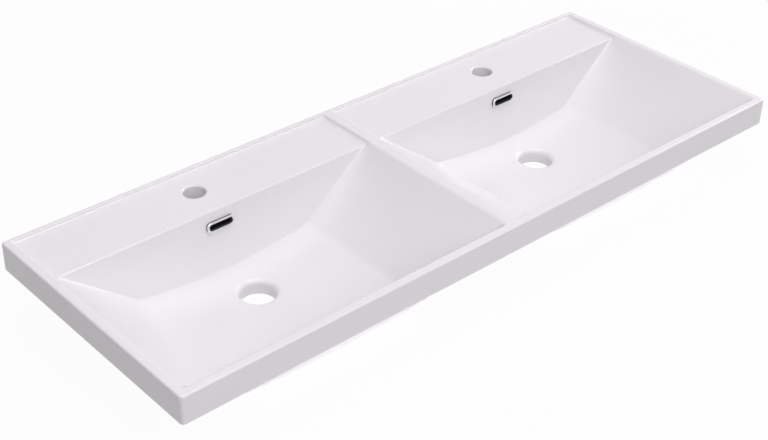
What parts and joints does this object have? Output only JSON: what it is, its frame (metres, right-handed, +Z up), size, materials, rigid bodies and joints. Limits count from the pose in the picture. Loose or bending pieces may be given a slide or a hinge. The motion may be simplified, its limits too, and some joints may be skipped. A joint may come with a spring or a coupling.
{
  "type": "double washbasin",
  "caption": "Long white ceramic furniture washbasin with paired trough bowls, recessed tap ledges with bare tap holes, a slim apron and chrome-ringed overflows.",
  "frame": {"origin": "under the middle of the basin, on the level of the drain bosses that it stands on", "axes": "+X along the basin to the right as seen from the front, +Y towards the wall, +Z up"},
  "size_m": [1.21, 0.45, 0.139],
  "materials": {
    "ceramic": "gloss white glaze",
    "bezel_chrome": "bright chrome",
    "sleeve_plastic": "matte black"
  },
  "bodies": {
    "basin": {"basin": "ceramic"},
    "overflow_cover_left": {"overflow_bezel_left": "bezel_chrome", "overflow_sleeve_left": "sleeve_plastic"},
    "overflow_cover_right": {"overflow_bezel_right": "bezel_chrome", "overflow_sleeve_right": "sleeve_plastic"}
  },
  "joints": [
    {"name": "overflow_pull_left", "type": "slide", "parent": "basin", "child": "overflow_cover_left", "axis": [0, -0.997, 0.0775], "range_m": [0, 0.018]},
    {"name": "overflow_pull_right", "type": "slide", "parent": "basin", "child": "overflow_cover_right", "axis": [0, -0.997, 0.0775], "range_m": [0, 0.018]}
  ]
}
